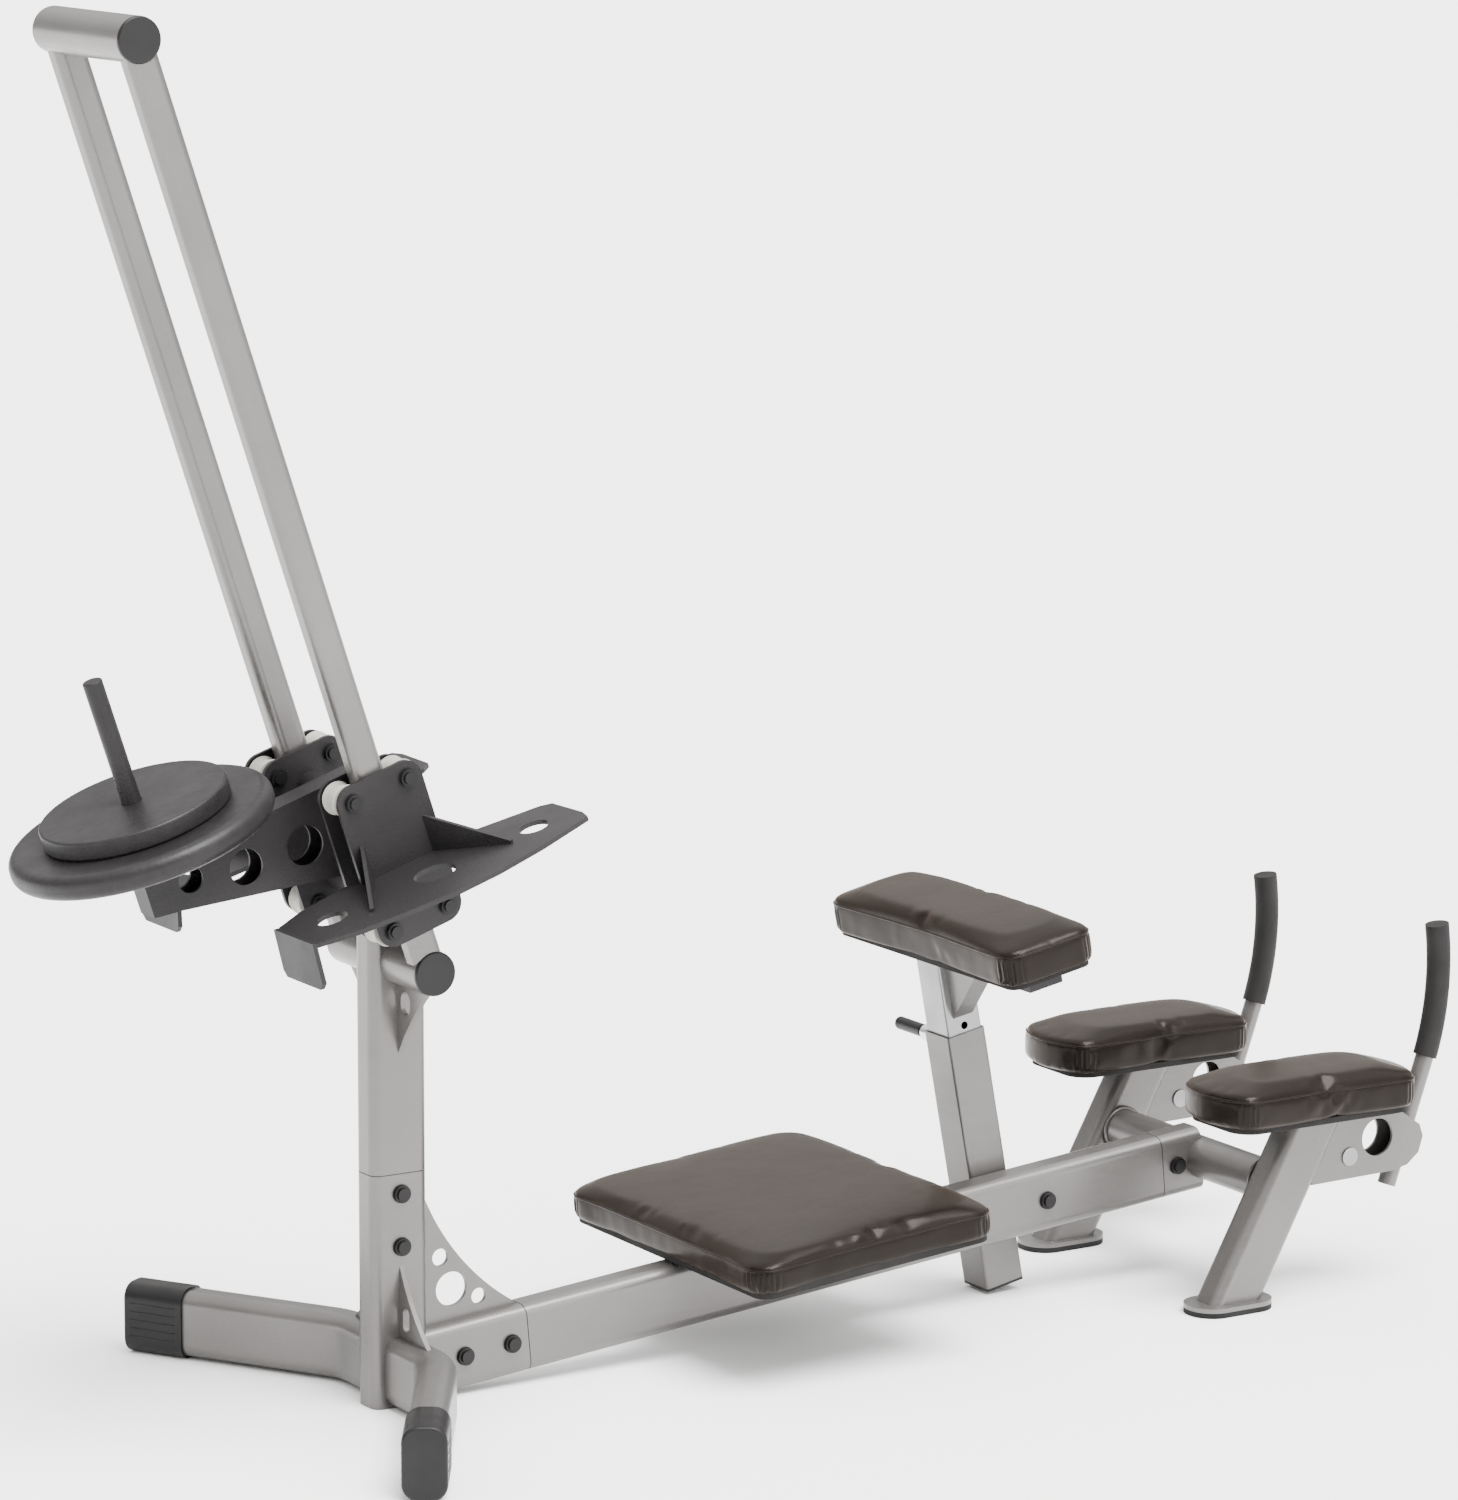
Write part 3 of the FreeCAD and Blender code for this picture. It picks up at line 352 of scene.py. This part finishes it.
def makeFinishes():
    finishes["silver_paint"] = silverPaint(silverLook)
    finishes["charcoal_paint"] = charcoalPaint(charcoalLook)
    finishes["cast_weight"] = castEnamel(castLook)
    finishes["vinyl"] = blackVinyl(vinylLook)
    for slot, look in plainLooks.items():
        finishes[slot] = plainFinish(look)
    for entry in frame["record"]["subparts"]:
        mesh = nodes[entry["node"]].data
        mesh.materials.clear()
        mesh.materials.append(finishes[entry["material_slot"]])
    print("finishes:", len(finishes))


# small mesh helpers
nodeMerge = 1e-5  # points of a CAD node closer than this are one
seamMerge = 1e-6


def newPiece(name, mesh, slot, body):
    piece = bpy.data.objects.new(name, mesh)
    bpy.context.collection.objects.link(piece)
    mesh.materials.clear()
    mesh.materials.append(finishes[slot])
    mesh.polygons.foreach_set("use_smooth", [True] * len(mesh.polygons))
    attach(piece, body)
    return piece


def meshFrom(work, name):
    mesh = bpy.data.meshes.new(name)
    bmesh.ops.recalc_face_normals(work, faces=work.faces)
    work.to_mesh(mesh)
    work.free()
    return mesh


def applyModifier(piece, modifier):
    bpy.ops.object.select_all(action="DESELECT")
    piece.select_set(True)
    bpy.context.view_layer.objects.active = piece
    bpy.ops.object.modifier_apply(modifier=modifier.name)


# upholstered pads: "tilt" is a pad's slope in degrees, "cap" the most that its cover may rise,
# "wrap" how far the cover reaches down over the board
padLook = {"rimBand": 0.001, "voxel": 0.005, "shrink": 0.0035, "softenRounds": 4, "settleRounds": 3,
           "crown": 0.0075, "beadDown": 0.0105, "beadRadius": 0.0016, "footGap": 0.0008,
           "foldDepth": 0.0011, "foldFade": 0.008, "pleats": 26, "cornerStart": 1.45,
           "lumpScale": (38, 38, 12), "lumpShare": 0.5}
coverCloth = {"pressure": 3.2, "frames": 20, "quality": 5, "mass": 0.3, "stretch": 30, "bend": 9.0}
pads = {
    "kneePad": {"node": "knee_pad", "body": "frame", "tilt": -5.28, "cap": 0.007, "wrap": 0.008},
    "chestPad": {"node": "chest_pad", "body": "chest_carrier", "tilt": -10.8, "cap": 0.007, "wrap": 0.006},
    "farElbowPad": {"node": "elbow_pad_far", "body": "frame", "tilt": 0.0, "cap": 0.006, "wrap": 0.005},
    "nearElbowPad": {"node": "elbow_pad_near", "body": "frame", "tilt": 0.0, "cap": 0.006, "wrap": 0.005},
}


def swell(piece, cap):
    # cloth inflated by its own pressure, held to a small rise over the foam
    rest = [v.co.copy() for v in piece.data.vertices]
    cloth = piece.modifiers.new("swell", "CLOTH")
    cloth.settings.quality = coverCloth["quality"]
    cloth.settings.mass = coverCloth["mass"]
    cloth.settings.tension_stiffness = coverCloth["stretch"]
    cloth.settings.compression_stiffness = coverCloth["stretch"]
    cloth.settings.bending_stiffness = coverCloth["bend"]
    cloth.settings.use_pressure = True
    cloth.settings.uniform_pressure_force = coverCloth["pressure"]
    cloth.settings.effector_weights.gravity = 0
    cloth.point_cache.frame_start = 1
    cloth.point_cache.frame_end = coverCloth["frames"]
    scene = bpy.context.scene
    for step in range(1, coverCloth["frames"] + 1):
        scene.frame_set(step)
    graph = bpy.context.evaluated_depsgraph_get()
    shaped = [v.co.copy() for v in piece.evaluated_get(graph).data.vertices]
    piece.modifiers.remove(cloth)
    scene.frame_set(1)
    for vert, start, end in zip(piece.data.vertices, rest, shaped):
        move = end - start
        if move.length > cap:
            move = move.normalized() * cap
        vert.co = start + move


def smoothPiece(piece, rounds):
    smooth = piece.modifiers.new("smooth", "SMOOTH")
    smooth.iterations = rounds
    applyModifier(piece, smooth)


def makeCover(name, pad, work):
    # an even skin over the foam block, blown up a little
    piece = newPiece(name, meshFrom(work, name), "vinyl", pad["body"])
    remesh = piece.modifiers.new("even", "REMESH")
    remesh.mode = "VOXEL"
    remesh.voxel_size = padLook["voxel"]
    applyModifier(piece, remesh)
    smoothPiece(piece, padLook["softenRounds"])
    swell(piece, pad["cap"])
    smoothPiece(piece, padLook["settleRounds"])
    finer = piece.modifiers.new("finer", "SUBSURF")
    finer.levels = 1
    finer.render_levels = 1
    applyModifier(piece, finer)
    return piece


def dressCover(work, low, middle, size, bead):
    # crown on top, pleats round the corners, flat underneath
    half = size / 2
    foot = low.z + padLook["footGap"]
    lumpX, lumpY, lumpZ = padLook["lumpScale"]
    for vert in work.verts:
        x = (vert.co.x - middle.x) / half.x
        y = (vert.co.y - middle.y) / half.y
        upper = max(0.0, (vert.co.z - middle.z) / half.z)
        vert.co.z += padLook["crown"] * max(0, 1 - x ** 4) * max(0, 1 - y ** 4) * upper ** 2
        side = 1 - abs(vert.normal.z)
        corner = max(0.0, abs(x) + abs(y) - padLook["cornerStart"]) / (2 - padLook["cornerStart"])
        below = max(0.0, min(1.0, (bead - vert.co.z) / padLook["foldFade"]))
        around = math.atan2(abs(vert.normal.y), abs(vert.normal.x))
        pleat = math.sin(around * padLook["pleats"]) * corner
        lump = noise.noise(Vector((vert.co.x * lumpX, vert.co.y * lumpY, vert.co.z * lumpZ)))
        fold = padLook["foldDepth"] * side * below * (pleat + padLook["lumpShare"] * lump)
        vert.co += vert.normal * fold
        vert.co.z = max(vert.co.z, foot)


def makePad(name, pad):
    turn = Matrix.Rotation(math.radians(pad["tilt"]), 4, "Y")
    flat = turn.inverted()
    work = bmesh.new()
    work.from_mesh(nodes[pad["node"]].data)
    bmesh.ops.remove_doubles(work, verts=work.verts, dist=nodeMerge)
    bmesh.ops.transform(work, matrix=flat, verts=work.verts)
    # the cover wraps down round the edge of the board
    bottom = min(v.co.z for v in work.verts)
    for vert in work.verts:
        if vert.co.z < bottom + padLook["rimBand"]:
            vert.co.z -= pad["wrap"]
    low = Vector([min(v.co[i] for v in work.verts) for i in range(3)])
    high = Vector([max(v.co[i] for v in work.verts) for i in range(3)])
    middle = (low + high) / 2
    size = high - low
    inset = [1 - 2 * padLook["shrink"] / side for side in size]
    bmesh.ops.translate(work, verts=work.verts, vec=-middle)
    bmesh.ops.scale(work, verts=work.verts, vec=inset)
    bmesh.ops.translate(work, verts=work.verts, vec=middle)
    piece = makeCover(name, pad, work)
    bead = high.z - padLook["beadDown"]
    work = bmesh.new()
    work.from_mesh(piece.data)
    work.normal_update()
    dressCover(work, low, middle, size, bead)
    bmesh.ops.transform(work, matrix=turn, verts=work.verts)
    work.to_mesh(piece.data)
    work.free()
    addWelt(name + "Welt", seamPoints(piece, flat, bead), turn, pad["body"])
    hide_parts(pad["node"])
    return piece


def seamPoints(piece, flat, bead):
    # a level cut through the pad, its closed chain of edges walked in order
    cut = bmesh.new()
    cut.from_mesh(piece.data)
    bmesh.ops.transform(cut, matrix=flat, verts=cut.verts)
    got = bmesh.ops.bisect_plane(cut, geom=cut.verts[:] + cut.edges[:] + cut.faces[:],
                                 plane_co=(0, 0, bead), plane_no=(0, 0, 1))
    edges = [e for e in got["geom_cut"] if isinstance(e, bmesh.types.BMEdge)]
    following = {}
    for edge in edges:
        a, b = edge.verts
        following.setdefault(a, []).append(b)
        following.setdefault(b, []).append(a)
    start = edges[0].verts[0]
    chain = [start]
    before, here = None, start
    while True:
        options = [v for v in following[here] if v is not before]
        before, here = here, options[0]
        if here is start or len(chain) > len(following):
            break
        chain.append(here)
    points = [v.co.copy() for v in chain]
    cut.free()
    return points


weltLook = {"fewest": 60, "every": 3, "degree": 3, "steps": 3, "roundness": 2}


def addWelt(name, points, turn, body):
    # piping round the pad's top edge
    count = max(weltLook["fewest"], len(points) // weltLook["every"])
    picked = [points[int(i * len(points) / count)] for i in range(count)]
    curve = bpy.data.curves.new(name, "CURVE")
    curve.dimensions = "3D"
    curve.bevel_depth = padLook["beadRadius"]
    curve.bevel_resolution = weltLook["roundness"]
    curve.resolution_u = weltLook["steps"]
    line = curve.splines.new("NURBS")
    line.points.add(count - 1)
    for spot, co in zip(line.points, picked):
        spot.co = (*(turn @ co), 1)
    line.order_u = weltLook["degree"]
    line.use_cyclic_u = True
    holder = bpy.data.objects.new(name + "Line", curve)
    bpy.context.collection.objects.link(holder)
    graph = bpy.context.evaluated_depsgraph_get()
    mesh = bpy.data.meshes.new_from_object(holder.evaluated_get(graph))
    bpy.data.objects.remove(holder)
    work = bmesh.new()
    work.from_mesh(mesh)
    bmesh.ops.remove_doubles(work, verts=work.verts, dist=seamMerge)
    newPiece(name, meshFrom(work, name), "vinyl", body)


def makePads():
    for name, pad in pads.items():
        piece = makePad(name, pad)
        print("pad", name, len(piece.data.vertices))


# weld beads where the rear cross tube meets the legs
weldLook = {"bead": 0.0026, "beadSides": 10, "ripples": 46, "ripple": 0.0005, "rippleSteps": 4,
            "sink": 0.001, "stand": 0.0008}


def weldRing(name, centre, radius):
    work = bmesh.new()
    bmesh.ops.create_circle(work, segments=weldLook["beadSides"], radius=weldLook["bead"])
    bmesh.ops.rotate(work, verts=work.verts, cent=(0, 0, 0), matrix=Matrix.Rotation(math.pi / 2, 3, "X"))
    bmesh.ops.translate(work, verts=work.verts, vec=(radius, 0, 0))
    bmesh.ops.spin(work, geom=work.verts[:] + work.edges[:], cent=(0, 0, 0), axis=(0, 0, 1),
                   angle=2 * math.pi, steps=weldLook["ripples"] * weldLook["rippleSteps"], use_merge=True)
    bmesh.ops.remove_doubles(work, verts=work.verts, dist=seamMerge)
    for vert in work.verts:
        around = math.atan2(vert.co.y, vert.co.x)
        out = 1 + weldLook["ripple"] / radius * abs(math.sin(around * weldLook["ripples"]))
        vert.co.x *= out
        vert.co.y *= out
    facing = Vector((0, 1, 0)).to_track_quat("Z", "Y").to_matrix().to_4x4()
    bmesh.ops.transform(work, matrix=Matrix.Translation(centre) @ facing, verts=work.verts)
    newPiece(name, meshFrom(work, name), "silver_paint", "frame")


def makeWelds():
    low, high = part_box("rear_cross_tube")
    centre = (low + high) / 2
    radius = (high.z - low.z) / 2 + weldLook["stand"]
    weldRing("farLegWeld", (centre.x, high.y - weldLook["sink"], centre.z), radius)
    weldRing("nearLegWeld", (centre.x, low.y + weldLook["sink"], centre.z), radius)
    print("welds done")


# moulded ribs on the end caps of the base arms
capLook = {"ribs": 5, "ribRadius": 0.0007, "ribSides": 12, "ribPitch": 0.011, "ribInset": 0.010,
           "sweep": 32.0, "height": 0.047}


def capExtent(side, flat):
    # one cap's reach across and along its arm
    source = bmesh.new()
    source.from_mesh(nodes["base_arm_caps"].data)
    bmesh.ops.remove_doubles(source, verts=source.verts, dist=nodeMerge)
    other = [v for v in source.verts if v.co.y * side < 0]
    bmesh.ops.delete(source, geom=other, context="VERTS")
    bmesh.ops.transform(source, matrix=flat, verts=source.verts)
    across = [v.co.x for v in source.verts]
    along = [v.co.y for v in source.verts]
    source.free()
    return (min(across), max(across)), (min(along), max(along))


def makeCapRibs():
    lying = Matrix.Rotation(math.pi / 2, 3, "X")
    for side, name in ((1, "farCapRibs"), (-1, "nearCapRibs")):
        turn = Matrix.Rotation(math.radians(capLook["sweep"] * side), 4, "Z")
        across, along = capExtent(side, turn.inverted())
        length = along[1] - along[0] - 2 * capLook["ribInset"]
        work = bmesh.new()
        for count in range(capLook["ribs"]):
            height = capLook["height"] + capLook["ribPitch"] * (count - (capLook["ribs"] - 1) / 2)
            for x in across:
                made = bmesh.ops.create_cone(work, cap_ends=True, segments=capLook["ribSides"],
                                             radius1=capLook["ribRadius"], radius2=capLook["ribRadius"],
                                             depth=length)
                bmesh.ops.rotate(work, verts=made["verts"], cent=(0, 0, 0), matrix=lying)
                bmesh.ops.translate(work, verts=made["verts"], vec=(x, (along[0] + along[1]) / 2, height))
        bmesh.ops.transform(work, matrix=turn, verts=work.verts)
        newPiece(name, meshFrom(work, name), "black_plastic", "frame")
    print("cap ribs done")


makeFinishes()
makeStudio()
makeCamera()
makePads()
makeWelds()
makeCapRibs()
